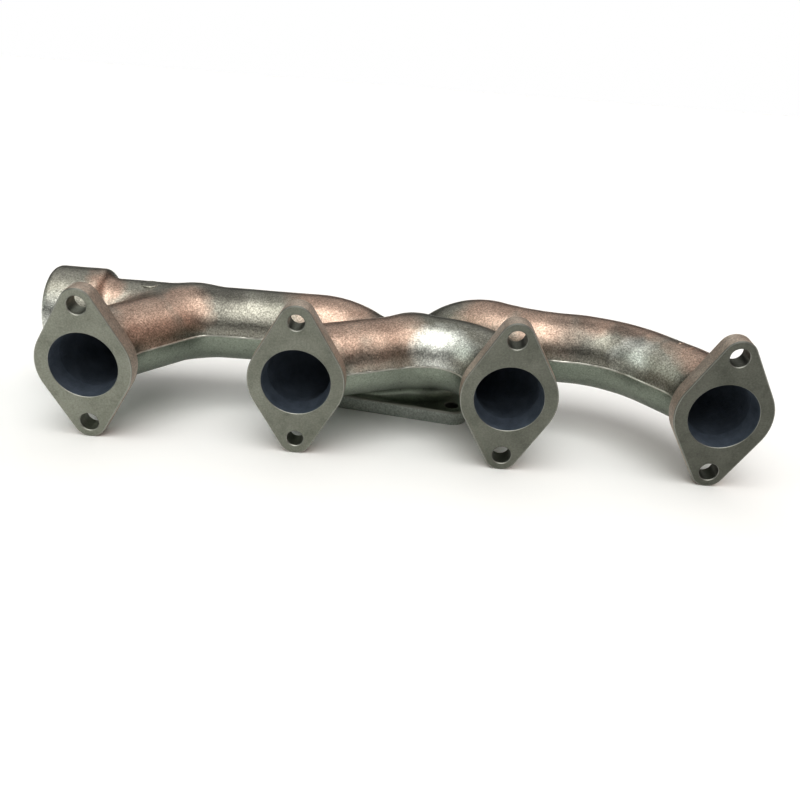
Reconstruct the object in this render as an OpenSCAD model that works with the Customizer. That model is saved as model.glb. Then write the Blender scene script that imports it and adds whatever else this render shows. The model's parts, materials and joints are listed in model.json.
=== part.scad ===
// Four-port turbo exhaust manifold: one iron casting, drawn as its sections.
// Origin: centre of port 1 on the gasket face. +X runs along the port row, +Y away from
// the cylinder head, +Z up. All runners and the log lie in the plane z = 0.

/* [Ports] */
// Distance between neighbouring port centres
port_pitch = 118; // [100:1:130]
// Machined port bore
port_d = 38.7; // [34:0.1:40]
// Thickness of the port flanges
flange_t = 12; // [10:0.5:16]
// Radius of the flange around the port
flange_r = 27.2; // [25:0.1:30]
// Radius of the two lugs of a port flange
lug_r = 9.6; // [8:0.1:12]
// Distance between the two stud holes of a port flange
stud_gap = 70.7; // [66:0.1:80]
// Stud hole of flanges 1, 3 and 4
stud_hole_d = 10.6; // [9:0.1:11]
// Tighter, locating stud hole of flange 2
locating_hole_d = 9.2; // [8:0.1:10]

/* [Pipes] */
// Outer radius of the runners
pipe_r = 21.8; // [20:0.1:23]
// Outer radius of the log pipe
log_r = 22.2; // [21:0.1:23]
// Wall of the casting
wall = 4; // [3:0.1:5]
// Distance of the log's axis from the gasket face
log_y = 78; // [76:0.5:80]

/* [End boss] */
// Outer radius of the boss at the log's open end
boss_r = 27.8; // [26:0.1:32]
// Length of the full-width boss
boss_len = 30; // [24:1:40]
// Radius of the socket bored in the boss
socket_r = 21; // [19:0.1:24]
// Depth of the socket
socket_depth = 22; // [12:1:24]

/* [Turbo flange] */
// Length of the turbo flange
turbo_len = 98; // [92:1:110]
// Depth of the turbo flange
turbo_depth = 70; // [66:1:80]
// Thickness of the turbo flange
turbo_t = 10; // [8:0.5:14]
// Height of the turbo face below the port centres
turbo_drop = 50; // [48:0.5:56]
// Turn of the turbo flange about the vertical
turbo_yaw = -10; // [-15:1:0]
// Tapping-size hole for the turbo studs
turbo_hole_d = 8.5; // [6.8:0.1:11]

/* [Hidden] */
$fn = 96;
iron = [0.44, 0.44, 0.40];
machined = [0.42, 0.43, 0.41];
eps = 0.01;
// How far a cutter runs past the face that it opens
over = 1;
passage_r = pipe_r - wall;
log_passage_r = log_r - wall;
tangent_a = acos((flange_r - lug_r) / (stud_gap / 2));

// A station on a pipe's centre line is [x, y, heading in degrees].
function ahead(s, d) = [s.x + d * cos(s.z), s.y + d * sin(s.z), s.z];
function side(t) = t > 0 ? 1 : -1;
function centre(s, r, t) = [s.x - side(t) * r * sin(s.z), s.y + side(t) * r * cos(s.z), 0];
function turned(s, r, t) =
    let (c = centre(s, r, t), a = s.z + t)
    [c.x + side(t) * r * sin(a), c.y - side(t) * r * cos(a), a];

// Bend radii, turns and straights of the runners
bend_1 = [44, -41];
bend_2 = [23.2, -63.7];
bend_3 = [45, 90];
bend_4 = [46, 43];
link_4 = 21.1;
sweep_4 = [66.7, 47];
veer_4 = [91.4, -30];
dive_4 = [44.2, 25];
dive_log = [43, 22];

// The log: its boss, its shoulder, and the pad cast on top of it
log_end_x = 121;
boss_end_x = -45.3;
boss_rim = 2.5;
shoulder_len = 6;
pad_r = 5.4;
pad_foot = 3;
pad_h = 3.3;
pad_at = [15, log_y - 1, log_r - pad_foot];

function port(i) = [(i - 1) * port_pitch, 0, 90];
function root(i) = ahead(port(i), flange_t);
s1_bend = root(1);
s1_pipe = turned(s1_bend, bend_1[0], bend_1[1]);
s2_bend = root(2);
s2_pipe = turned(s2_bend, bend_2[0], bend_2[1]);
s3_bend = root(3);
s3_end = turned(s3_bend, bend_3[0], bend_3[1]);
s4_bend = root(4);
s4_link = turned(s4_bend, bend_4[0], bend_4[1]);
s4_sweep = ahead(s4_link, link_4);
s4_veer = turned(s4_sweep, sweep_4[0], sweep_4[1]);
s4_dive = turned(s4_veer, veer_4[0], veer_4[1]);
log_start = [boss_end_x + boss_len + shoulder_len, log_y, 0];
log_end = [log_end_x, log_y, 0];
pipe_1 = (log_y - s1_pipe.y) / sin(s1_pipe.z);

// Collector
plate_centre = [port_pitch * 1.5 - 2.4, 98];
plate_corner_r = 10;
neck_tops = [[159, 88], [177.5, 91], [193, 101]];
neck_top_z = -26;
neck_bottom_z = turbo_t - turbo_drop;
throat_r = 18;
throat_half = 11;
neck_lip = 1;
outlet_r = 19.8;
outlet_passage_r = outlet_r - wall;
s_outlet = [port_pitch * 1.5 + 3.5, s3_end.y, 97];
dive_junction = [38, 0];

// Runner 2 meets runner 3 end to end, through a short bend of equal tangents
meeting_x = s2_pipe.x + (s3_end.y - s2_pipe.y) / tan(s2_pipe.z);
meeting_t = s3_end.x - meeting_x;
pipe_2 = (s3_end.y - s2_pipe.y) / sin(s2_pipe.z) - meeting_t;
s2_junction = ahead(s2_pipe, pipe_2);
bend_junction = [meeting_t / tan(s2_pipe.z / 2), -s2_pipe.z];

// Round bar or bore along a straight stretch and along a level bend
module straight(s, d, r) {
    translate([s.x, s.y, 0]) rotate([0, 0, s.z]) rotate([0, 90, 0]) cylinder(h = d, r = r);
}
module bend(s, turn, r) {
    start = s.z - side(turn[1]) * 90;
    translate(centre(s, turn[0], turn[1]))
        rotate([0, 0, turn[1] > 0 ? start : start + turn[1]])
            rotate_extrude(angle = abs(turn[1])) translate([turn[0], 0]) circle(r);
}
// A bend that dives from a level heading, leaning to the left by turn[1] degrees
module dive(s, turn, r, sweep = 90) {
    translate([s.x, s.y, 0]) rotate([0, 0, s.z]) rotate([turn[1], 0, 0])
        rotate([0, -90, -90]) translate([-turn[0], 0, 0])
            rotate_extrude(angle = sweep) translate([turn[0], 0]) circle(r);
}
module above_neck() {
    intersection() {
        children();
        translate([0, 0, neck_top_z]) cube([4 * port_pitch, 2 * plate_centre.y, 4 * pipe_r]);
    }
}

// Solid shapes that the sections share
module log_bar(r) {
    straight(log_start, log_end_x - log_start.x, r);
}
module log_dive(r) {
    above_neck() dive(log_end, dive_log, r);
}
module dive_4_bar(r) {
    above_neck() dive(s4_dive, dive_4, r);
}
module junction_bar(r) {
    bend(s2_junction, bend_junction, r);
}
module junction_dive(r) {
    above_neck() dive(s_outlet, dive_junction, r);
}
module at_plate() {
    translate(plate_centre) rotate([0, 0, turbo_yaw]) children();
}
module throat(r, z, h) {
    at_plate() translate([0, 0, z]) linear_extrude(h) {
        square([2 * throat_half, 2 * r], center = true);
        for (u = [-1, 1]) translate([u * throat_half, 0]) circle(r);
    }
}
module neck_bar(r, grow) {
    hull() {
        translate([0, 0, neck_bottom_z]) at_plate() for (u = [-1, 1])
            translate([u * throat_half, 0, 0]) cylinder(h = eps, r = r, $fn = 48);
        for (p = neck_tops)
            translate([p.x, p.y, neck_top_z - eps]) cylinder(h = eps, r = grow, $fn = 48);
    }
}

// Flange outline: a disc and two lugs, joined by straight tangents
function tangent(u, z, r, d) = [u * r * sin(tangent_a), z * (d + r * cos(tangent_a))];
module flange_outline() {
    circle(flange_r);
    for (z = [-1, 1]) translate([0, z * stud_gap / 2]) circle(lug_r);
    polygon([for (k = [[1, -1], [1, 1], [-1, 1], [-1, -1]])
        for (end = k.x * k.y > 0 ? [0, 1] : [1, 0])
            tangent(k.x, k.y, end == 1 ? lug_r : flange_r, end * stud_gap / 2)]);
}
module port_flange(i) {
    hole_d = i == 2 ? locating_hole_d : stud_hole_d;
    color(machined) translate([port(i).x, 0, 0]) rotate([90, 0, 0]) difference() {
        translate([0, 0, -flange_t]) linear_extrude(flange_t) flange_outline();
        translate([0, 0, -flange_t / 2]) cylinder(h = flange_t, d = port_d);
        translate([0, 0, -flange_t - eps])
            cylinder(h = flange_t / 2 + 2 * eps, r1 = passage_r, d2 = port_d);
        for (z = [-1, 1]) translate([0, z * stud_gap / 2, -flange_t - over])
            cylinder(h = flange_t + 2 * over, d = hole_d);
    }
}

// A round pipe along a level bend or a straight, open at both ends
module hollow_bend(s, turn) {
    difference() {
        bend(s, turn, pipe_r);
        bend(s, turn, passage_r);
    }
}
module hollow_straight(s, d) {
    difference() {
        straight(s, d, pipe_r);
        straight(s, d, passage_r);
    }
}

module runner_1_bend() {
    color(iron) hollow_bend(s1_bend, bend_1);
}
module runner_1_pipe() {
    color(iron) difference() {
        hollow_straight(s1_pipe, pipe_1);
        log_bar(log_r);
    }
}
module runner_2_bend() {
    color(iron) hollow_bend(s2_bend, bend_2);
}
module runner_2_pipe() {
    color(iron) difference() {
        hollow_straight(s2_pipe, pipe_2);
        log_bar(log_r);
        log_dive(log_r);
        junction_dive(outlet_passage_r);
    }
}
module runner_3_bend() {
    color(iron) difference() {
        hollow_bend(s3_bend, bend_3);
        bend(s4_veer, veer_4, pipe_r);
        dive_4_bar(pipe_r);
        junction_dive(outlet_passage_r);
    }
}
module runner_4_bend() {
    color(iron) hollow_bend(s4_bend, bend_4);
}
module runner_4_link() {
    color(iron) hollow_straight(s4_link, link_4);
}
module runner_4_sweep() {
    color(iron) hollow_bend(s4_sweep, sweep_4);
}
module runner_4_veer() {
    color(iron) hollow_bend(s4_veer, veer_4);
}
module runner_4_elbow() {
    color(iron) difference() {
        dive_4_bar(pipe_r);
        dive_4_bar(passage_r);
        log_dive(log_r);
        junction_dive(outlet_passage_r);
    }
}

module log_end_boss() {
    color(iron) translate([boss_end_x, log_y, 0]) rotate([0, 90, 0]) difference() {
        rotate_extrude() polygon([[0, 0], [boss_r - boss_rim, 0], [boss_r, boss_rim],
            [boss_r, boss_len], [0, boss_len]]);
        translate([0, 0, -over]) cylinder(h = socket_depth + over, r = socket_r);
        translate([0, 0, socket_depth - over]) cylinder(h = boss_len, r = log_passage_r);
    }
}
module log_shoulder() {
    color(iron) translate([boss_end_x + boss_len, log_y, 0]) rotate([0, 90, 0]) difference() {
        cylinder(h = shoulder_len, r1 = boss_r, r2 = log_r);
        translate([0, 0, -over]) cylinder(h = shoulder_len + 2 * over, r = log_passage_r);
    }
}
module log_pipe() {
    color(iron) difference() {
        log_bar(log_r);
        log_bar(log_passage_r);
        straight(s1_pipe, pipe_1, passage_r);
    }
}
module log_elbow() {
    color(iron) difference() {
        log_dive(log_r);
        log_dive(log_passage_r);
        dive_4_bar(passage_r);
        junction_dive(outlet_passage_r);
    }
}
module runner_junction() {
    color(iron) difference() {
        hollow_bend(s2_junction, bend_junction);
        log_dive(log_r);
        dive_4_bar(pipe_r);
        junction_dive(outlet_passage_r);
    }
}
module junction_elbow() {
    color(iron) difference() {
        junction_dive(outlet_r);
        junction_dive(outlet_passage_r);
        junction_bar(pipe_r);
        straight(s2_pipe, pipe_2, pipe_r);
        bend(s3_bend, bend_3, pipe_r);
        log_dive(log_r);
        dive_4_bar(pipe_r);
    }
}
module collector_neck() {
    color(iron) difference() {
        neck_bar(throat_r + wall, log_r + neck_lip);
        neck_bar(throat_r, log_passage_r + neck_lip);
    }
}
module turbo_flange() {
    hole_u = turbo_len / 2 - plate_corner_r;
    hole_v = turbo_depth / 2 - plate_corner_r;
    color(machined) difference() {
        translate([0, 0, -turbo_drop]) at_plate() linear_extrude(turbo_t) {
            square([turbo_len, 2 * hole_v], center = true);
            square([2 * hole_u, turbo_depth], center = true);
            for (u = [-1, 1], v = [-1, 1]) translate([u * hole_u, v * hole_v]) circle(plate_corner_r);
        }
        throat(throat_r, -turbo_drop - over, turbo_t + 2 * over);
        translate([0, 0, -turbo_drop - over]) at_plate() for (u = [-1, 1], v = [-1, 1])
            translate([u * hole_u, v * hole_v, 0]) cylinder(h = turbo_t + 2 * over, d = turbo_hole_d);
    }
}
module casting_pad() {
    color(iron) difference() {
        translate(pad_at) cylinder(h = pad_h, r = pad_r);
        log_bar(log_r, $fn = 240);
    }
}

for (i = [1:4]) port_flange(i);
runner_1_bend();
runner_1_pipe();
runner_2_bend();
runner_2_pipe();
runner_3_bend();
runner_4_bend();
runner_4_link();
runner_4_sweep();
runner_4_veer();
runner_4_elbow();
log_end_boss();
log_shoulder();
log_pipe();
log_elbow();
runner_junction();
junction_elbow();
collector_neck();
turbo_flange();
casting_pad();
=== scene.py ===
import json
import math

import bpy
import bmesh
import numpy as np
from mathutils import Matrix, Vector, noise
from mathutils.geometry import delaunay_2d_cdt


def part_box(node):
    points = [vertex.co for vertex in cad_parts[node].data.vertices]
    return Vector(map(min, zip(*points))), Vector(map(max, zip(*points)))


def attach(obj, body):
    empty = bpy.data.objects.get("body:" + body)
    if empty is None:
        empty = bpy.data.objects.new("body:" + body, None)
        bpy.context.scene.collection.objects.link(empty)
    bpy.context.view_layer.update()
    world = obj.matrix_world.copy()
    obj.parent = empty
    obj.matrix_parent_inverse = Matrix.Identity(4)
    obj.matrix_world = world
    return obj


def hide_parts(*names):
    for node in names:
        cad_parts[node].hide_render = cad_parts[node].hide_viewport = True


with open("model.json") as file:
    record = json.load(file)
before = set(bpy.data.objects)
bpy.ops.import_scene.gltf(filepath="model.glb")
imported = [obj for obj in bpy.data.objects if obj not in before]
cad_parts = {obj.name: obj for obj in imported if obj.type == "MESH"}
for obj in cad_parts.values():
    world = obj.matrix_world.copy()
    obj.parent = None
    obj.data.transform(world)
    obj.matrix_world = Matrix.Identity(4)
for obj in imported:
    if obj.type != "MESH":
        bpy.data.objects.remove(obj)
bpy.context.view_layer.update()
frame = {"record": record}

MM = 0.001

# ---------------------------------------------------------------- sizes of the casting, in mm
mounts = {m["name"]: m for m in frame["record"]["mounts"]}


def place(name):
    """A mount's position in millimetres."""
    return np.array(mounts[name]["pos_m"], float) / MM


def box_mm(node):
    """The lowest and highest corner of a node, in millimetres."""
    low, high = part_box(node)
    return np.array(low, float) / MM, np.array(high, float) / MM


PORTS = [place(f"port_{i}")[0] for i in (1, 2, 3, 4)]
PORT_R = mounts["port_1"]["dims"]["r_mm"]
STUD_GAP = mounts["port_1_studs"]["dims"]["spacing_y_mm"]
flange_low, flange_high = box_mm("port_flange_1")
FLANGE_T = flange_high[1]
FLANGE_R = (flange_high[0] - flange_low[0]) / 2
LUG_R = flange_high[2] - STUD_GAP / 2
PIPE_R = 21.8
OUTLET_R = 20.0  # outer radius of the junction's elbow
WALL = 4.0
LOG_R = (box_mm("log_pipe")[1][2] - box_mm("log_pipe")[0][2]) / 2
LOG_Y = place("log_socket")[1]
BOSS_X = place("log_socket")[0]
BOSS_R = box_mm("log_end_boss")[1][2]
BOSS_LENGTH = 32.5
BOSS_RIM = 3.5
MOUTH_R = 24.4  # outer radius of the ring in the boss's mouth
SOCKET_R = mounts["log_socket"]["dims"]["r_mm"]
SOCKET_DEPTH = mounts["log_socket"]["dims"]["length_mm"]
TURBO_Z = place("turbo_face")[2]
TURBO_T = box_mm("turbo_flange")[1][2] - TURBO_Z
TURBO_HOLES = [place(f"turbo_hole_{i}") for i in (1, 2, 3, 4)]
TURBO_HOLE_R = mounts["turbo_hole_1"]["dims"]["r_mm"]
TURBO_AT = sum(TURBO_HOLES) / 4
TURBO_ROW = TURBO_HOLES[2] - TURBO_HOLES[0]
TURBO_U = np.linalg.norm(TURBO_ROW) / 2
TURBO_V = np.linalg.norm(TURBO_HOLES[1] - TURBO_HOLES[0]) / 2
TURBO_YAW = math.atan2(TURBO_ROW[1], TURBO_ROW[0])
TURBO_CORNER = 10.0
THROAT_R = 18.0  # round ends of the turbo flange's slot
THROAT_HALF = 11.0  # half of the slot's straight
NECK_RISE = 14.0  # height over which the neck opens out
NECK_STRETCH = 2.0  # how much half its straight grows
NECK_FLARE = 1.5  # and the radius of its ends
NECK_HALF = 16.0  # half the height of its form, which starts below the flange
NECK_TOP = 13.0  # faces less than this above the flange are the neck's

# Fillets where the forms of the casting meet
BOSS_FILLET = 7
RUNNER_1_FILLET = 7
OUTLET_FILLET = 8
RUNNER_4_FILLET = 6
MIDDLE_FILLET = 8
NECK_FILLET = 9
PORT_FLANGE_FILLET = 6
TURBO_FLANGE_FILLET = 7
DUCT_FILLET = 3
NECK_DUCT_FILLET = 4
# The slabs that the skin is filleted to, inside the flanges that are built apart
SLAB_HALF = 4.0
SLAB_CENTRE = 4.1  # how deep their middle lies under the face that the ducts stand on
SLAB_INSET = 1.5
# How much wider and deeper the cast hollow is than the machined socket
RING_ROOM = 0.6
RING_DEPTH = 0.3
STEP = 1.0  # spacing of the grid that the skin is traced on


# ---------------------------------------------------------------- centre lines
def line(start, heading, length):
    """A straight of a duct, its start, and the station at its end."""
    a = math.radians(heading)
    d = np.array([math.cos(a), math.sin(a), 0.0])
    end = np.array(start, float) + length * d
    return ("line", np.array(start, float), end), end


def arc(start, heading, radius, turn):
    """A level bend: turn is in degrees, positive to the left."""
    a = math.radians(heading)
    side = 1 if turn > 0 else -1
    ahead = np.array([math.cos(a), math.sin(a), 0.0])
    left = np.array([-math.sin(a), math.cos(a), 0.0]) * side
    centre = np.array(start, float) + radius * left
    t = math.radians(abs(turn))
    end = centre + radius * (-left * math.cos(t) + ahead * math.sin(t))
    return ("arc", centre, -left, ahead, radius, t), end, heading + turn


def dive(start, heading, radius, lean, sweep=90.0):
    """A bend that dives from a level heading, leaning to the left by so many degrees."""
    a, g = math.radians(heading), math.radians(lean)
    ahead = np.array([math.cos(a), math.sin(a), 0.0])
    down = np.array([-math.sin(a) * math.sin(g), math.cos(a) * math.sin(g), -math.cos(g)])
    centre = np.array(start, float) + radius * down
    return ("arc", centre, -down, ahead, radius, math.radians(sweep)), centre + radius * ahead, down


def duct(start, heading, *steps):
    """The sections of a duct: (node, "line", length) or (node, "arc", radius, turn)."""
    out = []
    at = np.array(start, float)
    for node, kind, *values in steps:
        if kind == "line":
            seg, at = line(at, heading, values[0])
        else:
            seg, at, heading = arc(at, heading, *values)
        out.append((node, seg))
    return out, at, heading


def root(i):
    """Where a duct starts, inside its port flange."""
    return [PORTS[i], FLANGE_T - 8, 0]


LOG_END = 121.0
LOG_START = BOSS_X + 24  # inside the boss, so that the log's round end doesn't show
runner_1, _, _ = duct(root(0), 90, ("runner_1_bend", "line", 8), ("runner_1_bend", "arc", 44, -41),
                      ("runner_1_pipe", "line", 49.2))
runner_2, meet_2, heading_2 = duct(root(1), 90, ("runner_2_bend", "line", 8),
                                   ("runner_2_bend", "arc", 23.2, -63.7), ("runner_2_pipe", "line", 43.51))
bend_2_3, _, _ = duct(meet_2, heading_2, ("runner_junction", "arc", 47.56, -26.3))
runner_3, meet_3, _ = duct(root(2), 90, ("runner_3_bend", "line", 8), ("runner_3_bend", "arc", 45, 90))
runner_4, top_4, heading_4 = duct(root(3), 90, ("runner_4_bend", "line", 8), ("runner_4_bend", "arc", 46, 43),
                                  ("runner_4_link", "line", 21.1), ("runner_4_sweep", "arc", 66.7, 47),
                                  ("runner_4_veer", "arc", 91.4, -30))
elbow_4, low_4, down_4 = dive(top_4, heading_4, 44.2, 25)
log_line, _, _ = duct([LOG_START, LOG_Y, 0], 0, ("log_pipe", "line", LOG_END - LOG_START))
elbow_log, low_log, down_log = dive([LOG_END, LOG_Y, 0], 0, 43, 22)
elbow_23, low_23, down_23 = dive([PORTS[1] + 63, meet_3[1], 0], 97, 38, 0)

through = runner_2 + bend_2_3 + runner_3
long_4 = runner_4 + [("runner_4_elbow", elbow_4), ("runner_4_elbow", ("line", low_4, low_4 + 8 * down_4))]
log_all = log_line + [("log_elbow", elbow_log), ("log_elbow", ("line", low_log, low_log + 8 * down_log))]
outlet = [("junction_elbow", elbow_23), ("junction_elbow", ("line", low_23, low_23 + 8 * down_23))]


# ---------------------------------------------------------------- distances
def length(v):
    """Lengths of the vectors v."""
    return np.sqrt((v * v).sum(-1))


def reach(p, seg):
    """Distance of the points p from one section's centre line."""
    if seg[0] == "line":
        _, a, b = seg
        ab = b - a
        t = np.clip(((p - a) @ ab) / (ab @ ab), 0, 1)
        return length(p - a - t[..., None] * ab)
    _, centre, e1, e2, radius, sweep = seg
    q = p - centre
    u, v = q @ e1, q @ e2
    w = q @ np.cross(e1, e2)
    t = np.arctan2(v, u)
    on = np.sqrt((np.hypot(u, v) - radius) ** 2 + w * w)
    start = length(q - radius * e1)
    end = length(q - radius * (math.cos(sweep) * e1 + math.sin(sweep) * e2))
    return np.where((t >= 0) & (t <= sweep), on, np.minimum(start, end))


def tube(p, parts, r):
    """Distance outside a duct of radius r along those sections."""
    return np.min([reach(p, seg) for _, seg in parts], axis=0) - r


def blend(a, b, k):
    """Smooth union with a fillet of about k."""
    h = np.maximum(k - np.abs(a - b), 0) / k
    return np.minimum(a, b) - h * h * k / 4


def flange_edge(u, w):
    """Distance outside a port flange's outline, from its centre."""
    gap = STUD_GAP / 2
    u, w = np.abs(u), np.abs(w)
    b = (FLANGE_R - LUG_R) / gap
    a = math.sqrt(1 - b * b)
    k = -b * u + a * w
    disc = np.hypot(u, w) - FLANGE_R
    lug = np.hypot(u, w - gap) - LUG_R
    side = a * u + b * w - FLANGE_R
    return np.where(k < 0, disc, np.where(k > a * gap, lug, side))


def turbo_axes(p):
    """Coordinates along and across the turbo flange."""
    c, s = math.cos(TURBO_YAW), math.sin(TURBO_YAW)
    x, y = p[..., 0] - TURBO_AT[0], p[..., 1] - TURBO_AT[1]
    return c * x + s * y, -s * x + c * y


def turbo_edge(u, v):
    """Distance outside the turbo flange's outline."""
    qx = np.abs(u) - TURBO_U
    qy = np.abs(v) - TURBO_V
    return np.hypot(np.maximum(qx, 0), np.maximum(qy, 0)) + np.minimum(np.maximum(qx, qy), 0) - TURBO_CORNER


def slab(edge, height, half):
    """A plate of that outline, half thick either side of height 0."""
    d = np.abs(height) - half
    return np.hypot(np.maximum(edge, 0), np.maximum(d, 0)) + np.minimum(np.maximum(edge, d), 0)


def stadium(u, v, half, r):
    """Distance outside a slot with round ends, from its centre."""
    return np.hypot(np.maximum(np.abs(u) - half, 0), v) - r


def boss(p):
    """The enlarged end of the log, with a rounded rim and shoulder."""
    half = BOSS_LENGTH / 2
    q = np.stack([np.hypot(p[..., 1] - LOG_Y, p[..., 2]) - (BOSS_R - BOSS_RIM),
                  np.abs(p[..., 0] - BOSS_X - half) - (half - BOSS_RIM)], -1)
    return np.minimum(q.max(-1), 0) + length(np.maximum(q, 0)) - BOSS_RIM


def neck(p, r):
    """The chamber above the turbo flange's slot, wider at its top."""
    u, v = turbo_axes(p)
    top = TURBO_Z + TURBO_T
    rise = np.clip((p[..., 2] - top) / NECK_RISE, -0.5, 1)
    side = stadium(u, v, THROAT_HALF + NECK_STRETCH * rise, r + NECK_FLARE * rise)
    return np.maximum(side, np.abs(p[..., 2] - top + NECK_HALF - NECK_RISE) - NECK_HALF)


def outside(p):
    """Distance outside the casting's skin."""
    log = blend(tube(p, log_all, LOG_R), boss(p), BOSS_FILLET)
    middle = blend(tube(p, through, PIPE_R), tube(p, outlet, OUTLET_R), OUTLET_FILLET)
    d = blend(log, tube(p, runner_1, PIPE_R), RUNNER_1_FILLET)
    d = blend(d, tube(p, long_4, PIPE_R), RUNNER_4_FILLET)
    d = blend(d, middle, MIDDLE_FILLET)
    d = blend(d, neck(p, THROAT_R + WALL), NECK_FILLET)
    for x in PORTS:
        edge = flange_edge(p[..., 0] - x, p[..., 2])
        plate_d = slab(edge + SLAB_INSET, p[..., 1] - FLANGE_T + SLAB_CENTRE, SLAB_HALF)
        d = blend(d, plate_d, PORT_FLANGE_FILLET)
    edge = turbo_edge(*turbo_axes(p))
    plate_d = slab(edge + SLAB_INSET, p[..., 2] - TURBO_Z - TURBO_T + SLAB_CENTRE, SLAB_HALF)
    return blend(d, plate_d, TURBO_FLANGE_FILLET)


def inside(p):
    """Distance outside the hollow of the casting: it is negative in the gas."""
    d = tube(p, log_all, LOG_R - WALL)
    for parts in (runner_1, long_4, through):
        d = blend(d, tube(p, parts, PIPE_R - WALL), DUCT_FILLET)
    d = blend(d, tube(p, outlet, OUTLET_R - WALL), DUCT_FILLET)
    d = blend(d, neck(p, THROAT_R), NECK_DUCT_FILLET)
    socket = np.maximum(np.hypot(p[..., 1] - LOG_Y, p[..., 2]) - SOCKET_R - RING_ROOM,
                        p[..., 0] - BOSS_X - SOCKET_DEPTH - RING_DEPTH)
    return np.minimum(d, socket)


def slope(f, p, e=0.05):
    """The gradient of f at the points p, by differences of 2 e mm."""
    return np.stack([f(p + e * axis) - f(p - e * axis) for axis in np.eye(3)], -1) / (2 * e)


def settle(f, p, rounds):
    """Moves the points onto the surface f = 0."""
    for _ in range(rounds):
        g = slope(f, p)
        p = p - (f(p) / np.maximum((g * g).sum(-1), 0.04))[:, None] * g
    return p


# ---------------------------------------------------------------- tracing the skin
def trace(f, axes):
    """Points and four-sided faces of the surface f = 0, with one point in each cell that it crosses."""
    shape = [len(a) for a in axes]
    field = np.empty(shape, np.float32)
    yz = np.stack(np.meshgrid(axes[1], axes[2], indexing="ij"), -1)
    for i, x in enumerate(axes[0]):
        p = np.concatenate([np.full(yz.shape[:2] + (1,), x), yz], -1)
        field[i] = f(p)
    filled = field < 0
    total = np.zeros([n - 1 for n in shape] + [3])
    count = np.zeros([n - 1 for n in shape])
    edges = []
    for axis in range(3):
        a = [slice(None)] * 3
        b = [slice(None)] * 3
        a[axis], b[axis] = slice(None, -1), slice(1, None)
        cross = filled[tuple(a)] != filled[tuple(b)]
        at = np.argwhere(cross)
        fa, fb = field[tuple(a)][cross], field[tuple(b)][cross]
        t = fa / (fa - fb)
        point = at.astype(float)
        point[:, axis] += t
        others = [o for o in range(3) if o != axis]
        for du in (0, 1):
            for dv in (0, 1):
                cell = at.copy()
                cell[:, others[0]] -= du
                cell[:, others[1]] -= dv
                ok = (cell >= 0).all(1) & (cell < np.array(shape) - 1).all(1)
                key = tuple(cell[ok].T)
                np.add.at(total, key, point[ok])
                np.add.at(count, key, 1)
        edges.append((axis, others, at, filled[tuple(a)][cross]))
    used = count > 0
    number = np.full(used.shape, -1)
    number[used] = np.arange(used.sum())
    mean = total[used] / count[used][:, None]
    points = np.stack([np.interp(mean[:, i], np.arange(shape[i]), axes[i]) for i in range(3)], 1)
    faces = []
    for axis, others, at, inner in edges:
        ok = (at[:, others[0]] > 0) & (at[:, others[1]] > 0)
        ok &= (at < np.array(used.shape)).all(1)
        at, inner = at[ok], inner[ok]
        ring = []
        for du, dv in ((0, 0), (1, 0), (1, 1), (0, 1)):
            cell = at.copy()
            cell[:, others[0]] -= du
            cell[:, others[1]] -= dv
            ring.append(number[tuple(cell.T)])
        quad = np.stack(ring, 1)
        flip = inner if axis != 1 else ~inner
        quad[~flip] = quad[~flip][:, ::-1]
        faces.append(quad)
    return points, np.concatenate(faces)


def neighbours_mean(n, quads, p):
    """The mean of each point's neighbours along the faces' edges."""
    total, count = np.zeros((n, 3)), np.zeros(n)
    for i in range(4):
        a, b = quads[:, i], quads[:, (i + 1) % 4]
        np.add.at(total, a, p[b])
        np.add.at(total, b, p[a])
        np.add.at(count, a, 1)
        np.add.at(count, b, 1)
    return total / np.maximum(count, 1)[:, None]


# The grid's box cuts through the slabs, where the flanges hide it
low = np.array([BOSS_X - 3, FLANGE_T - 3, TURBO_Z + TURBO_T - 3.5])
high = np.array([PORTS[3] + FLANGE_R + 4, LOG_Y + 56, BOSS_R + 3])
axes = [np.arange(a, b + STEP, STEP) for a, b in zip(low, high)]
SEAM = np.array([-2.1, -1.3, -0.7, -0.25, 0.25, 0.7, 1.3, 2.1])  # close rows either side of the parting line
axes[2] = np.sort(np.concatenate([axes[2][np.abs(axes[2]) > SEAM[-1] + 0.4], SEAM]))
skin, quads = trace(outside, axes)
skin = settle(outside, skin, 2)
for _ in range(5):
    relaxed = 0.5 * skin + 0.5 * neighbours_mean(len(skin), quads, skin)
    relaxed[:, 2] = np.where(np.abs(skin[:, 2]) < SEAM[-1], skin[:, 2], relaxed[:, 2])
    skin = settle(outside, relaxed, 1)
skin = settle(outside, skin, 2)

# The skin stops inside the flanges, and at the ring of the boss's mouth
SUNK = 0.03  # how deep a face may lie inside a flange
mid = skin[quads].mean(1)
keep = skin[quads][..., 1].max(1) > FLANGE_T - SUNK
keep &= skin[quads][..., 2].max(1) > TURBO_Z + TURBO_T - SUNK
keep &= ~((mid[:, 0] < BOSS_X + 1) & (np.hypot(mid[:, 1] - LOG_Y, mid[:, 2]) < MOUTH_R - 0.6))
keep &= mid[:, 1] < high[1] - 2
quads = quads[keep]
mid = mid[keep]
normal = slope(outside, skin)
normal /= np.maximum(length(normal), 1e-6)[:, None]
hollow = settle(inside, skin, 3)
astray = (length(hollow - skin) > 1.9 * WALL) | (np.abs(inside(hollow)) > 0.4)
hollow[astray] = (skin - 0.8 * WALL * normal)[astray]  # in the crotches between two ducts

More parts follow.
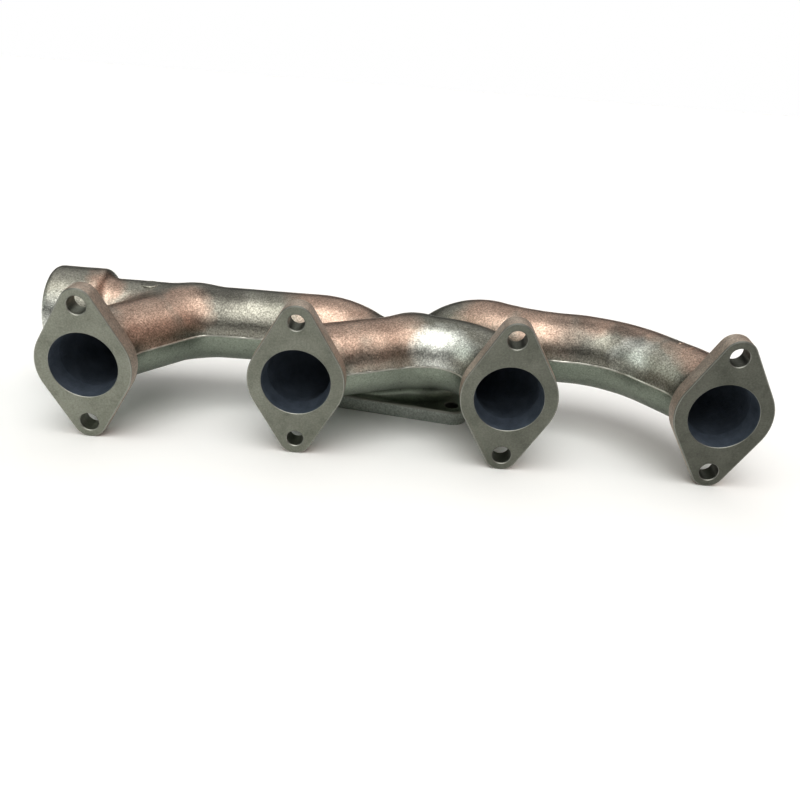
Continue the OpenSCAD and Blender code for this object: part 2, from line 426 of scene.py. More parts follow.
# ---------------------------------------------------------------- which section a face belongs to
sections = through + long_4 + log_all + outlet + runner_1
names = sorted({n for n, _ in sections} | {"collector_neck", "log_end_boss", "log_shoulder"})
SURE = 99.0  # minus this beats every distance, plus this loses to every one
score = {}
for n, seg in sections:
    r = LOG_R if n.startswith("log") else (OUTLET_R if n == "junction_elbow" else PIPE_R)
    d = reach(mid, seg) - r
    score[n] = np.minimum(score[n], d) if n in score else d
score["collector_neck"] = np.where(mid[:, 2] < TURBO_Z + TURBO_T + NECK_TOP, -SURE, SURE)
boss_end = box_mm("log_end_boss")[1][0]
shoulder_end = box_mm("log_shoulder")[1][0]
to_runner_1 = np.minimum(score["runner_1_bend"], score["runner_1_pipe"])
on_log = np.hypot(mid[:, 1] - LOG_Y, mid[:, 2]) - BOSS_R < to_runner_1
on_boss = mid[:, 0] < boss_end
score["log_end_boss"] = np.where(on_log & on_boss, -SURE, SURE)
score["log_shoulder"] = np.where(on_log & ~on_boss & (mid[:, 0] < shoulder_end), -SURE, SURE)
owner = np.argmin([score[n] for n in names], axis=0)


# ---------------------------------------------------------------- small forms of the cast surface
FIN = 0.55  # mean height of the fin along the mould's parting line
FIN_HALF = 0.32  # about half its width
RAG = 11.0  # length of its ragged waves
MISMATCH = 0.45  # how far the lower half stands proud of the upper one
FADE = 14  # depth at which that step is down to about a third
CALM = 4  # the swells and the fin fade out this near a flange


def cast_wave(p):
    """Low swells of a sand casting, in mm."""
    out = np.zeros(len(p))
    for i, (wave, size) in enumerate(((34, 0.16), (15, 0.09), (6.5, 0.045))):
        out += size * np.array([noise.noise(Vector(q)) for q in (p / wave + 7.3 * i)])
    return out


def parting(p, n):
    """The seam where the mould's halves met: a ragged fin, and a lower half that stands slightly proud."""
    rag = np.array([noise.noise(Vector(q)) + 0.6 * noise.noise(Vector(q * 3.1)) for q in p / RAG])
    fin = np.exp(-(p[:, 2] / FIN_HALF) ** 2) * FIN * np.clip(1 + 1.4 * rag, 0.15, 2)
    step = MISMATCH / (1 + np.exp((p[:, 2] + 0.35) / 0.18)) * np.exp(np.minimum(p[:, 2], 0) / FADE)
    clear = np.clip((p[:, 0] - BOSS_X - 3) / 4, 0, 1)  # the mouth of the boss is turned clean
    return clear * np.hypot(n[:, 0], n[:, 1]) ** 2 * (fin + step)


above = np.minimum(skin[:, 1] - FLANGE_T, skin[:, 2] - TURBO_Z - TURBO_T)
calm = np.clip(above / CALM, 0, 1)
skin = skin + normal * (calm * (cast_wave(skin) + parting(skin, normal)))[:, None]
face_n = np.cross(skin[quads[:, 2]] - skin[quads[:, 0]], skin[quads[:, 3]] - skin[quads[:, 1]])
if (face_n * normal[quads[:, 0]]).sum() < 0:
    quads = quads[:, ::-1]
    face_n = -face_n
shade = np.zeros_like(skin)
for i in range(4):
    np.add.at(shade, quads[:, i], face_n)
shade /= np.maximum(length(shade), 1e-9)[:, None]


# ---------------------------------------------------------------- meshes
SHARP = math.radians(24)


def add_mesh(name, points, faces, mats, indices=None, normals=None):
    """A smooth-shaded mesh object, from points in metres."""
    mesh = bpy.data.meshes.new(name)
    mesh.from_pydata([tuple(q) for q in points], [], [tuple(int(i) for i in f) for f in faces])
    for m in mats:
        mesh.materials.append(m)
    if indices is not None:
        mesh.polygons.foreach_set("material_index", np.asarray(indices, np.int32))
    mesh.polygons.foreach_set("use_smooth", np.full(len(mesh.polygons), True))
    mesh.update()
    if normals is not None:
        mesh.normals_split_custom_set_from_vertices([tuple(q) for q in normals])
    o = bpy.data.objects.new(name, mesh)
    bpy.context.scene.collection.objects.link(o)
    return o


def crisp(o):
    """Turns the faces outwards and shades the sharp edges as edges."""
    bm = bmesh.new()
    bm.from_mesh(o.data)
    bmesh.ops.recalc_face_normals(bm, faces=bm.faces)
    for e in bm.edges:
        if len(e.link_faces) == 2 and e.calc_face_angle(0) > SHARP:
            e.smooth = False
    bm.to_mesh(o.data)
    bm.free()


def shell(name, faces, mats):
    """A closed piece of the casting: its skin, the duct wall behind it, and the cut between the two."""
    used, back = np.unique(faces, return_inverse=True)
    f = back.reshape(faces.shape)
    n = len(used)
    edge = np.concatenate([np.stack([f[:, i], f[:, (i + 1) % 4]], 1) for i in range(4)])
    key = {tuple(e) for e in edge.tolist()}
    rim = [(a, b) for a, b in edge.tolist() if (b, a) not in key]
    allf = f.tolist() + (f[:, ::-1] + n).tolist() + [[b, a, a + n, b + n] for a, b in rim]
    index = [0] * len(f) + [1] * len(f) + [0] * len(rim)
    points = np.concatenate([skin[used], hollow[used]]) * MM
    normals = np.concatenate([shade[used], -normal_in[used]])
    return add_mesh(name, points, allf, mats, index, normals)


normal_in = slope(inside, hollow)
normal_in /= np.maximum(length(normal_in), 1e-6)[:, None]


# ---------------------------------------------------------------- materials
class Nodes:
    """A short way to wire a material's nodes."""

    def __init__(self, name):
        self.material = bpy.data.materials.new(name)
        self.material.use_nodes = True
        self.tree = self.material.node_tree
        self.shader = self.tree.nodes["Principled BSDF"]
        coords = self.tree.nodes.new("ShaderNodeTexCoord")
        self.at = coords.outputs["Object"]

    def link(self, value, socket):
        if isinstance(value, bpy.types.NodeSocket):
            self.tree.links.new(value, socket)
        else:
            socket.default_value = value

    def noise(self, scale, detail=3.0, rough=0.55, distortion=0.0):
        n = self.tree.nodes.new("ShaderNodeTexNoise")
        self.link(self.at, n.inputs["Vector"])
        n.inputs["Scale"].default_value = scale
        n.inputs["Detail"].default_value = detail
        n.inputs["Roughness"].default_value = rough
        n.inputs["Distortion"].default_value = distortion
        return n.outputs["Fac"]

    def cells(self, scale):
        """A random colour for each cell."""
        n = self.tree.nodes.new("ShaderNodeTexVoronoi")
        self.link(self.at, n.inputs["Vector"])
        n.inputs["Scale"].default_value = scale
        return n.outputs["Color"]

    def ramp(self, value, *stops):
        n = self.tree.nodes.new("ShaderNodeValToRGB")
        self.link(value, n.inputs["Fac"])
        while len(n.color_ramp.elements) < len(stops):
            n.color_ramp.elements.new(0.5)
        for e, (at, colour) in zip(n.color_ramp.elements, stops):
            e.position = at
            e.color = (*colour, 1) if not isinstance(colour, float) else (colour, colour, colour, 1)
        return n.outputs["Color"]

    def math(self, kind, a, b=0.0, c=0.0):
        n = self.tree.nodes.new("ShaderNodeMath")
        n.operation = kind
        for socket, value in zip(n.inputs, (a, b, c)):
            self.link(value, socket)
        return n.outputs[0]

    def spots(self, places, ragged):
        """1 inside the balls (x, y, z, radius) in mm and 0 outside them, with soft ragged borders."""
        total = 0.0
        for x, y, z, r in places:
            n = self.tree.nodes.new("ShaderNodeVectorMath")
            n.operation = "DISTANCE"
            self.link(self.at, n.inputs[0])
            n.inputs[1].default_value = (x * MM, y * MM, z * MM)
            near = self.math("ADD", n.outputs["Value"], ragged)
            near = self.math("MULTIPLY_ADD", near, -1.6 / (r * MM), c=1.7)
            total = self.math("MAXIMUM", total, near)
        return self.ramp(total, (0.05, 0.0), (0.85, 1.0))

    def mix(self, fac, a, b, kind="MIX"):
        n = self.tree.nodes.new("ShaderNodeMix")
        n.data_type = "RGBA"
        n.blend_type = kind
        self.link(fac, n.inputs["Factor"])
        for socket, value in ((n.inputs["A"], a), (n.inputs["B"], b)):
            self.link(value if isinstance(value, bpy.types.NodeSocket) else (*value, 1), socket)
        return n.outputs["Result"]

    def coordinate(self, axis):
        """How far the point lies along X, Y or Z, in metres."""
        n = self.tree.nodes.new("ShaderNodeSeparateXYZ")
        self.link(self.at, n.inputs[0])
        return n.outputs[axis]

    def bump(self, value, strength, distance, after=None):
        n = self.tree.nodes.new("ShaderNodeBump")
        n.inputs["Strength"].default_value = strength
        n.inputs["Distance"].default_value = distance
        self.link(value, n.inputs["Height"])
        if after is not None:
            self.link(after, n.inputs["Normal"])
        return n.outputs["Normal"]

    def set(self, **values):
        for name, value in values.items():
            self.link(value, self.shader.inputs[name.replace("_", " ")])
        return self.material


def cast_iron():
    """Sand-cast iron: a grainy grey skin with coppery patches that are partly its own tint and partly a
    painted warm sheen, painted silver highlights, spots of painted shade that hold the highlights down, a
    lower half whose greener grey is painted light from the floor, and a painted highlight along the parting
    line.
    """
    n = Nodes("cast_iron_skin")
    upper = n.ramp(n.math("MULTIPLY_ADD", n.coordinate("Z"), 500.0, c=0.5), (0.3, 0.0), (0.9, 1.0))
    ragged = n.math("MULTIPLY_ADD", n.noise(38, 4, 0.6), 0.030, c=-0.015)
    # Mask of the copper places: partly the casting's own tint, partly a painted warm sheen
    copper_and_sheen = n.spots(COPPER_AND_SHEEN, ragged)
    bright = n.spots(SILVER_HIGHLIGHTS, ragged)
    cloud = n.noise(26, 4, 0.55, distortion=0.6)
    grey = n.ramp(cloud, (0.3, (0.280, 0.276, 0.240)), (0.7, (0.403, 0.393, 0.348)))
    # The lower half's greener grey is painted light from the floor below
    lower = n.ramp(cloud, (0.3, (0.255, 0.285, 0.240)), (0.7, (0.340, 0.372, 0.318)))
    copper = n.ramp(n.noise(70, 4, 0.6), (0.3, (0.452, 0.325, 0.262)), (0.7, (0.610, 0.462, 0.380)))
    silver = n.ramp(n.noise(90, 4, 0.6), (0.3, (0.512, 0.525, 0.488)), (0.7, (0.732, 0.744, 0.708)))
    tint = n.mix(n.math("MULTIPLY", copper_and_sheen, 0.85), grey, copper)
    # Painted highlights: silver on the belly and on runner 4
    tint = n.mix(bright, tint, silver)
    # Painted shade: dark spots that hold the highlights down
    tint = n.mix(n.math("MULTIPLY", n.spots(PAINTED_SHADE, ragged), 0.55), tint, (0.10, 0.095, 0.085))
    tint = n.mix(upper, lower, tint)
    # Painted highlight: silver on the front of the boss
    tint = n.mix(n.spots(BOSS_HIGHLIGHT, ragged), tint, silver)
    # Painted highlight: a paler line along the fin of the parting line
    off = n.math("ABSOLUTE", n.math("ADD", n.coordinate("Z"), -0.0001))
    seam = n.ramp(n.math("MULTIPLY", off, 1000.0), (0.28, 1.0), (0.55, 0.0))
    grain = n.noise(1000, 5, 0.75)
    speck = n.ramp(grain, (0.36, 0.50), (0.50, 0.95), (0.62, 1.55))
    base = n.mix(n.math("MULTIPLY_ADD", upper, 0.45, c=0.30), tint, speck, "MULTIPLY")
    pit = n.ramp(n.noise(380, 4, 0.7), (0.30, 0.30), (0.42, 1.0))
    base = n.mix(0.45, base, pit, "MULTIPLY")
    base = n.mix(n.math("MULTIPLY", seam, 0.85), base, (0.70, 0.69, 0.64))
    rough = n.ramp(n.cells(1300), (0.3, 0.29), (0.8, 0.45))
    coarse = n.bump(n.noise(300, 5, 0.65), 0.25, 0.0005)
    normal = n.bump(grain, 0.30, 0.0004, coarse)
    return n.set(Base_Color=base, Metallic=1.0, Roughness=rough, Normal=normal)


# Centre and radius in mm of tinted places. The copper and silver places lie where the photo is copper or
# bright: the copper is partly the casting's own tint and partly a painted warm sheen, and the silver places
# are painted highlights.
# The dark places aren't stains seen in the photo: they are painted shade that holds the highlights down.
COPPER_AND_SHEEN = [(PORTS[0] + 20, 40, 12, 30), (PORTS[0] + 40, 62, 14, 20), (BOSS_X + 32, LOG_Y - 8, 20, 14),
         (LOG_END + 8, LOG_Y + 6, 18, 36), (PORTS[1] + 24, 36, 12, 24), (PORTS[1] + 42, 46, 16, 30),
         (PORTS[2] - 6, 88, 18, 28), (PORTS[2] + 26, 80, 20, 30), (PORTS[3] - 62, 78, 22, 20),
         (PORTS[3] - 34, 74, 24, 22), (PORTS[3] - 6, 36, 24, 22)]
SILVER_HIGHLIGHTS = [(PORTS[2] - 37, 36, 10, 21), (PORTS[3] - 47, 46, 11, 16)]
BOSS_HIGHLIGHT = [(BOSS_X + 4, LOG_Y - 26, -2, 24)]
PAINTED_SHADE = [(PORTS[3] - 73, 66, 17, 18), (PORTS[3] - 49, 60, 19, 13), (PORTS[0] + 60, LOG_Y - 8, 22, 16)]


def machined_iron(name, edge_highlight=0.0):
    """Milled iron: dull grey, darker towards the far end of the row, with fine tool marks and stains."""
    n = Nodes(name)
    stain = n.ramp(n.noise(55, 4, 0.6), (0.3, (0.276, 0.287, 0.243)), (0.7, (0.362, 0.370, 0.320)))
    fade = n.ramp(n.math("MULTIPLY", n.coordinate("X"), 1 / (PORTS[3] * MM)), (0.0, 1.0), (1.0, 0.50))
    base = n.mix(1.0, stain, fade, "MULTIPLY")
    fine = n.ramp(n.noise(900, 5, 0.7), (0.35, 0.80), (0.65, 1.15))
    base = n.mix(0.8, base, fine, "MULTIPLY")
    blot = n.ramp(n.noise(130, 5, 0.65), (0.36, 0.80), (0.46, 1.0))
    base = n.mix(0.6, base, blot, "MULTIPLY")
    # With a share given, a paler grey is mixed in: a painted highlight for chamfered edges
    if edge_highlight:
        base = n.mix(edge_highlight, base, (0.46, 0.46, 0.43))
    rough = n.ramp(n.noise(200, 4, 0.6), (0.3, 0.38), (0.7, 0.52))
    normal = n.bump(n.noise(1400, 4, 0.6), 0.15, 0.0002)
    return n.set(Base_Color=base, Metallic=0.85, Roughness=rough, Normal=normal)


def cast_rim(name, dark, pale):
    """The as-cast edge of a flange: smoother than the pipes, and dull."""
    n = Nodes(name)
    cloud = n.noise(48, 4, 0.6)
    tone = n.ramp(cloud, (0.3, dark), (0.7, pale))
    speck = n.ramp(n.noise(850, 4, 0.7), (0.38, 0.70), (0.62, 1.25))
    base = n.mix(0.8, tone, speck, "MULTIPLY")
    normal = n.bump(n.noise(420, 5, 0.65), 0.22, 0.0004)
    rough = n.ramp(cloud, (0.3, 0.42), (0.7, 0.55))
    return n.set(Base_Color=base, Metallic=0.55, Roughness=rough, Normal=normal)


def duct_wall():
    """The inside of the ducts: unlit, dark oxidised casting."""
    n = Nodes("duct_wall")
    base = n.ramp(n.noise(120, 5, 0.6), (0.3, (0.100, 0.124, 0.158)), (0.7, (0.175, 0.209, 0.258)))
    rough = n.ramp(n.noise(80), (0.3, 0.45), (0.7, 0.65))
    normal = n.bump(n.noise(500, 5, 0.7), 0.5, 0.0005)
    return n.set(Base_Color=base, Metallic=0.3, Roughness=rough, Normal=normal)


CAST = cast_iron()
MACHINED = machined_iron("machined_face")
# The chamfers' paler grey is a painted highlight
EDGE = machined_iron("machined_edge", 0.5)
# The rims' rosy tone is partly the casting's copper tint and partly painted warm light
RIM = cast_rim("rosy_rim", (0.446, 0.362, 0.304), (0.540, 0.486, 0.425))
# The turbo flange's side: a paler, greener copy of the rim finish, painted light on a side that lies in shade
SIDE = cast_rim("plate_side", (0.375, 0.402, 0.372), (0.490, 0.520, 0.485))
DUCT = duct_wall()


# ---------------------------------------------------------------- flanges
def flange_outline(inset, n=30):
    """Points round a port flange, x along the row and z up."""
    gap = STUD_GAP / 2
    tip = math.acos((FLANGE_R - LUG_R) / gap)
    out = []
    for centre, r, a, b in ((0, FLANGE_R, tip - math.pi / 2, math.pi / 2 - tip),
                            (gap, LUG_R, math.pi / 2 - tip, math.pi / 2 + tip),
                            (0, FLANGE_R, math.pi / 2 + tip, 3 * math.pi / 2 - tip),
                            (-gap, LUG_R, 3 * math.pi / 2 - tip, 3 * math.pi / 2 + tip)):
        for t in np.linspace(a, b, n):
            out.append(((r - inset) * math.cos(t), centre + (r - inset) * math.sin(t)))
    return np.array(out)


def turbo_outline(inset, n=14):
    """Points round the turbo flange, along and across it."""
    out = []
    for k, (u, v) in enumerate(((1, 1), (-1, 1), (-1, -1), (1, -1))):
        for t in np.linspace(k * math.pi / 2, (k + 1) * math.pi / 2, n):
            out.append((u * TURBO_U + (TURBO_CORNER - inset) * math.cos(t),
                        v * TURBO_V + (TURBO_CORNER - inset) * math.sin(t)))
    return np.array(out)


def circle(r, at=(0, 0), n=64):
    t = np.linspace(0, 2 * math.pi, n, endpoint=False)
    return np.stack([at[0] + r * np.cos(t), at[1] + r * np.sin(t)], 1)


def slot_loop(r, half, n=32):
    out = []
    for k, s in enumerate((1, -1)):
        for t in np.linspace(-math.pi / 2 + k * math.pi, math.pi / 2 + k * math.pi, n):
            out.append((s * half + r * math.cos(t), r * math.sin(t)))
    return np.array(out)


def plate(name, walls, put, mats):
    """A closed plate. walls: the outline first, then each hole, as rings [(loop, depth, material), ...] from
    front to back. Front and back faces are filled between the walls' end rings."""
    points, faces, index = [], [], []
    ends = [[], []]
    for w, rings in enumerate(walls):
        starts = []
        for loop, depth, _ in rings:
            starts.append(len(points))
            points += [(q[0], q[1], depth) for q in loop]
        n = len(rings[0][0])
        for (a, b), ring in zip(zip(starts, starts[1:]), rings[1:]):
            for i in range(n):
                j = (i + 1) % n
                quad = [a + i, a + j, b + j, b + i]
                faces.append(quad if w == 0 else quad[::-1])
                index.append(ring[2])
        ends[0].append((starts[0], n))
        ends[1].append((starts[-1], n))
    for end, material in ((0, F_FACE), (1, F_BACK)):
        ids = [s + i for s, n in ends[end] for i in range(n)]
        flat = [Vector((points[i][0], points[i][1])) for i in ids]
        lines = []
        at = 0
        for _, n in ends[end]:
            lines += [(at + i, at + (i + 1) % n) for i in range(n)]
            at += n
        _, _, tris, *_ = delaunay_2d_cdt(flat, lines, [], 0, 1e-7)
        loops = [np.array([points[s + i][:2] for i in range(n)]) for s, n in ends[end]]
        for tri in tris:
            c = np.mean([flat[i] for i in tri], axis=0)
            if not within(c, loops[0]) or any(within(c, h) for h in loops[1:]):
                continue
            ids3 = [ids[i] for i in tri]
            a, b, d = (np.array(points[i][:2]) for i in ids3)
            up = np.cross(b - a, d - a) > 0
            faces.append(ids3 if up == (end == 1) else ids3[::-1])
            index.append(material)
    world = [put(q) for q in points]
    o = add_mesh(name, np.array(world) * MM, faces, mats, index)
    crisp(o)
    return o


def within(p, loop):
    """Whether the point p lies in the closed loop."""
    x, y = loop[:, 0], loop[:, 1]
    xn, yn = np.roll(x, -1), np.roll(y, -1)
    hit = (y > p[1]) != (yn > p[1])
    with np.errstate(divide="ignore", invalid="ignore"):
        return bool((hit & (p[0] < (xn - x) * (p[1] - y) / (yn - y) + x)).sum() % 2)


FLANGE_MATS = [MACHINED, CAST, EDGE, DUCT, RIM, SIDE]
F_FACE, F_BACK, F_EDGE, F_DUCT, F_RIM, F_SIDE = range(len(FLANGE_MATS))
PORT_ROUND = 1.6  # rounding of a port flange's back edge
PORT_DEPTH = mounts["port_1"]["dims"]["length_mm"]
TURBO_ROUND = 1.4  # rounding of the turbo flange's top edge


def rounded(outline, t, r, angles, material):
    """The rings of a rounding of radius r along the far edge of a plate of thickness t."""
    return [(outline(r * (1 - math.cos(a))), t - r + r * math.sin(a), material) for a in np.radians(angles)]


def hole_wall(at, r, t, front, back):
    """The rings of a plain hole through a plate of thickness t, chamfered at both ends."""
    n = 40
    return [(circle(r + front, at, n), 0, F_FACE), (circle(r, at, n), front, F_EDGE),
            (circle(r, at, n), t - back, F_FACE), (circle(r + back, at, n), t, F_EDGE)]


def port_flange(i):
    """Port flange i, 1 to 4, with its bore and its two stud holes."""
    x = PORTS[i - 1]
    hole = mounts[f"port_{i}_studs"]["dims"]["hole_r_mm"]
    t = FLANGE_T
    outer = [(flange_outline(0.7), 0, F_FACE), (flange_outline(0.15), 0.25, F_EDGE)]
    outer += [(flange_outline(0), 0.8, F_EDGE), (flange_outline(0), t - PORT_ROUND, F_RIM)]
    outer += rounded(flange_outline, t, PORT_ROUND, (22.5, 45, 67.5, 90), F_RIM)
    bore = [(circle(PORT_R + 0.35), 0, F_FACE), (circle(PORT_R), 0.35, F_EDGE),
            (circle(PORT_R), PORT_DEPTH, F_DUCT), (circle(PIPE_R - WALL), t, F_DUCT)]
    walls = [outer, bore]
    for s in (-1, 1):
        at = (0, s * STUD_GAP / 2)
        walls.append(hole_wall(at, hole, t, 0.5, 0.4))
    return plate(f"flange_port_{i}", walls, lambda q: (x + q[0], q[2], q[1]), FLANGE_MATS)


def turbo_flange():
    """The plate that the turbocharger bolts to, with its slot and four holes."""
    c, s = math.cos(TURBO_YAW), math.sin(TURBO_YAW)
    t = TURBO_T
    outer = [(turbo_outline(0.8), 0, F_FACE), (turbo_outline(0), 0.8, F_EDGE)]
    outer += [(turbo_outline(0), t - TURBO_ROUND, F_SIDE)]
    # The top rounding has the chamfers' paler grey, a painted highlight
    outer += rounded(turbo_outline, t, TURBO_ROUND, (30, 60, 90), F_EDGE)
    slot = [(slot_loop(THROAT_R + 0.6, THROAT_HALF), 0, F_FACE),
            (slot_loop(THROAT_R, THROAT_HALF), 0.6, F_EDGE), (slot_loop(THROAT_R, THROAT_HALF), t, F_DUCT)]
    walls = [outer, slot]
    for u in (-1, 1):
        for v in (-1, 1):
            at = (u * TURBO_U, v * TURBO_V)
            walls.append(hole_wall(at, TURBO_HOLE_R, TURBO_T, 0.8, 0.5))

    def put(q):
        return (TURBO_AT[0] + c * q[0] - s * q[1], TURBO_AT[1] + s * q[0] + c * q[1], TURBO_Z + q[2])

    return plate("flange_turbo", walls, put, FLANGE_MATS)


def lathe(name, profile, put, mats, n=96):
    """A closed ring turned from a profile of (radius, depth, material of the face after it)."""
    points, faces, index = [], [], []
    m = len(profile)
    for k in range(n):
        a = 2 * math.pi * k / n
        points += [put(r, d, a) for r, d, _ in profile]
    for k in range(n):
        for j in range(m):
            i = (j + 1) % m
            b = ((k + 1) % n) * m
            faces.append([k * m + j, k * m + i, b + i, b + j])
            index.append(profile[j][2])
    o = add_mesh(name, np.array(points) * MM, faces, mats, index)
    crisp(o)
    return o


pieces = {}
for i, n in enumerate(names):
    pieces[n] = shell("cast_" + n, quads[owner == i], [CAST, DUCT])
for i in (1, 2, 3, 4):
    pieces[f"port_flange_{i}"] = port_flange(i)
pieces["turbo_flange"] = turbo_flange()
for node, o in pieces.items():
    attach(o, "root")
    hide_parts(node)

deep = SOCKET_DEPTH
lead = 1.2  # chamfer at the socket's mouth
duct_r = LOG_R - WALL - 0.1
profile = [(MOUTH_R, 0, F_FACE), (SOCKET_R + lead, 0, F_EDGE), (SOCKET_R, lead, F_FACE),
           (SOCKET_R, deep, F_FACE), (duct_r, deep, F_DUCT), (duct_r, deep + 3, F_DUCT),
           (SOCKET_R + 0.9, deep + 1, F_DUCT), (SOCKET_R + 2.2, deep - 2, F_DUCT), (MOUTH_R, 2, F_DUCT)]
ring = lathe("boss_socket", profile,
             lambda r, d, a: (BOSS_X + d, LOG_Y + r * math.cos(a), r * math.sin(a)), FLANGE_MATS)
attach(ring, "root")


# ---------------------------------------------------------------- the pad on the log
def pad():
    """The small round pad: flat on top, rounded down onto the log."""
    pad_low, pad_high = box_mm("casting_pad")
    cx, cy, _ = (pad_low + pad_high) / 2
    r0 = (pad_high[0] - pad_low[0]) / 2
    top = pad_high[2]
    n = 56
    # each ring's share of the radius, and of the way down to the log
    rings = [(0.35, 0), (0.7, 0), (0.88, 0), (0.95, 0.15), (1.0, 0.6), (1.05, 1.0)]
    points = [(cx, cy, top)]
    for f, drop in rings:
        for k in range(n):
            a = 2 * math.pi * k / n
            x, y = cx + f * r0 * math.cos(a), cy + f * r0 * math.sin(a)
            log = math.sqrt(max(LOG_R ** 2 - (y - LOG_Y) ** 2, 0)) - 0.25
            points.append((x, y, top + (min(log, top) - top) * drop))
    faces = [(0, 1 + k, 1 + (k + 1) % n) for k in range(n)]
    for j in range(len(rings) - 1):
        for k in range(n):
            a, b = 1 + j * n, 1 + (j + 1) * n
            faces.append((a + k, b + k, b + (k + 1) % n, a + (k + 1) % n))
    last = 1 + (len(rings) - 1) * n
    base = len(points)
    points.append((cx, cy, LOG_R - 3))
    faces += [(base, last + (k + 1) % n, last + k) for k in range(n)]
    p = np.array(points, float)
    wave = cast_wave(p)
    p[:, 2] += np.where(np.arange(len(p)) < base, wave, 0)
    return add_mesh("cast_pad", p * MM, faces, [CAST])


disc = pad()
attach(disc, "root")
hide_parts("casting_pad")


def foundry_mark(name, x, y, long, wide, turn):
    """A small raised bar on the top of runner 4, with rounded ends and a crowned back."""
    points, faces = [], []
    n = 24
    rings = ((1.0, -0.5), (1.0, 0.1), (0.86, 0.4), (0.55, 0.55))  # share of the outline, and height
    c, s = math.cos(turn), math.sin(turn)
    for f, rise in rings:
        for k in range(n):
            a = 2 * math.pi * k / n
            u = long * f * math.cos(a) * (1 + 0.25 * abs(math.cos(a)) ** 2)
            v = wide * f * math.sin(a)
            q = np.array([[x + c * u - s * v, y + s * u + c * v, PIPE_R]])
            top = settle(outside, q, 3)[0]
            top[2] += rise
            points.append(top)
    for j in range(len(rings) - 1):
        for k in range(n):
            a, b = j * n, (j + 1) * n
            faces.append((a + k, a + (k + 1) % n, b + (k + 1) % n, b + k))
    faces += [tuple(range(3 * n, 4 * n)), tuple(reversed(range(n)))]
    return add_mesh(name, np.array(points) * MM, faces, [CAST])


for i, (dx, dy, turn) in enumerate(((-15.5, 49.0, 0.4), (-11.5, 42.5, 0.25))):
    mark = foundry_mark(f"foundry_mark_{i + 1}", PORTS[3] + dx, dy, 1.9, 0.8, turn)
    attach(mark, "root")

# ---------------------------------------------------------------- floor, camera and lights
# The casting lies on the lower lugs of its port flanges and the near corner of its turbo flange, which
# reaches 0.8 mm into the floor
FLOOR_TILT = math.radians(-4.4)
FLOOR_AT = (0.18, 0.006, -0.0452)
FLOOR_HALF = 6
floor_mesh = bpy.data.meshes.new("floor")
corners = [(x * FLOOR_HALF, y * FLOOR_HALF) for x, y in ((-1, -1), (1, -1), (1, 1), (-1, 1))]
floor_mesh.from_pydata([(x, y, y * math.tan(FLOOR_TILT)) for x, y in corners], [], [(0, 1, 2, 3)])
floor = bpy.data.objects.new("floor", floor_mesh)
floor.location = FLOOR_AT
bpy.context.scene.collection.objects.link(floor)
paper = Nodes("white_paper")
floor_mesh.materials.append(paper.set(Base_Color=(0.94, 0.94, 0.94, 1), Roughness=0.9))

camera = bpy.data.objects.new("camera", bpy.data.cameras.new("camera"))
bpy.context.scene.collection.objects.link(camera)
CAMERA_AT = Vector((180.403, -408.823, 202.735)) * MM
CAMERA_AHEAD = Vector((-0.00926, 0.89110, -0.45372)).normalized()
CAMERA_RIGHT = Vector((0.99673, 0.04465, 0.06735)).normalized()
up = CAMERA_RIGHT.cross(CAMERA_AHEAD).normalized()
right = CAMERA_AHEAD.cross(up).normalized()
turned = Matrix((right, up, -CAMERA_AHEAD)).transposed().to_4x4()
camera.matrix_world = Matrix.Translation(CAMERA_AT) @ turned
camera.data.sensor_width = 36
camera.data.lens = 37.33
camera.data.clip_start = 0.01
bpy.context.scene.camera = camera


def sun(name, towards, strength, spread, colour=(1, 1, 1)):
    """A distant soft light from that direction, spread over so many degrees."""
    data = bpy.data.lights.new(name, "SUN")
    data.energy = strength
    data.angle = math.radians(spread)
    data.color = colour
    o = bpy.data.objects.new(name, data)
    o.rotation_mode = "QUATERNION"
    o.rotation_quaternion = Vector(towards).to_track_quat("Z", "Y")
    bpy.context.scene.collection.objects.link(o)


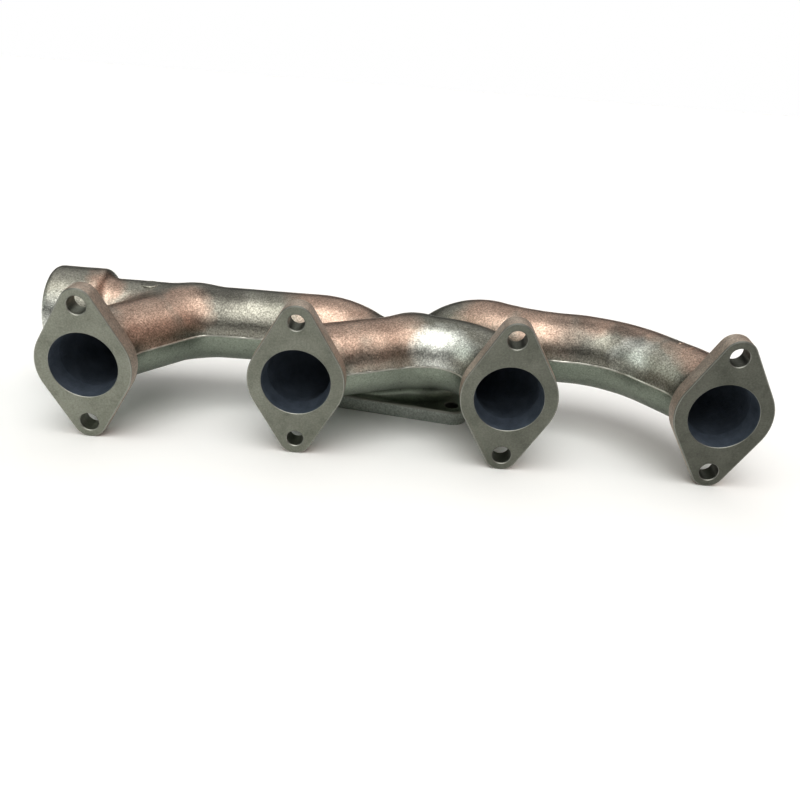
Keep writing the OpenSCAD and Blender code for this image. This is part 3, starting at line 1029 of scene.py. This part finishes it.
def studio():
    """Light from above that fades to a dark room at the horizon, and a pale glow from below the floor's
    level, which reaches the underside when no floor is there. The camera sees plain white behind."""
    world = bpy.data.worlds.new("studio")
    world.use_nodes = True
    tree = world.node_tree
    light = tree.nodes["Background"]
    coords = tree.nodes.new("ShaderNodeTexCoord")
    split = tree.nodes.new("ShaderNodeSeparateXYZ")
    ramp = tree.nodes.new("ShaderNodeValToRGB")
    white = tree.nodes.new("ShaderNodeBackground")
    path = tree.nodes.new("ShaderNodeLightPath")
    mix = tree.nodes.new("ShaderNodeMixShader")
    spread = tree.nodes.new("ShaderNodeMath")
    spread.operation = "MULTIPLY_ADD"
    spread.inputs[1].default_value = 0.5
    spread.inputs[2].default_value = 0.5
    while len(ramp.color_ramp.elements) < 4:
        ramp.color_ramp.elements.new(0.5)
    for stop, (at, colour) in zip(ramp.color_ramp.elements, (
            (0.0, (0.50, 0.50, 0.49)), (0.44, (0.50, 0.50, 0.49)), (0.46, (0.030, 0.031, 0.031)),
            (1.0, (0.16, 0.16, 0.155)))):
        stop.position = at
        stop.color = (*colour, 1)
    tree.links.new(coords.outputs["Generated"], split.inputs[0])
    tree.links.new(split.outputs["Z"], spread.inputs[0])
    tree.links.new(spread.outputs[0], ramp.inputs["Fac"])
    tree.links.new(ramp.outputs["Color"], light.inputs["Color"])
    tree.links.new(path.outputs["Is Camera Ray"], mix.inputs["Fac"])
    tree.links.new(light.outputs[0], mix.inputs[1])
    tree.links.new(white.outputs[0], mix.inputs[2])
    tree.links.new(mix.outputs[0], tree.nodes["World Output"].inputs["Surface"])
    white.inputs["Color"].default_value = (1, 1, 1, 1)
    return world


sun("overhead_front", (0.0, -0.46, 1.0), 2.25, 66, (1.0, 0.995, 0.97))
sun("overhead_back", (0.0, 0.55, 1.0), 0.95, 84, (1.0, 1.0, 0.99))
sun("right_side", (0.85, 0.20, 0.54), 0.42, 56, (1.0, 0.80, 0.72))
sun("left_side", (-0.85, -0.05, 0.50), 0.50, 44, (0.95, 1.0, 0.94))
bpy.context.scene.world = studio()
bpy.context.scene.view_settings.view_transform = "Standard"
bpy.context.scene.view_settings.gamma = 0.78
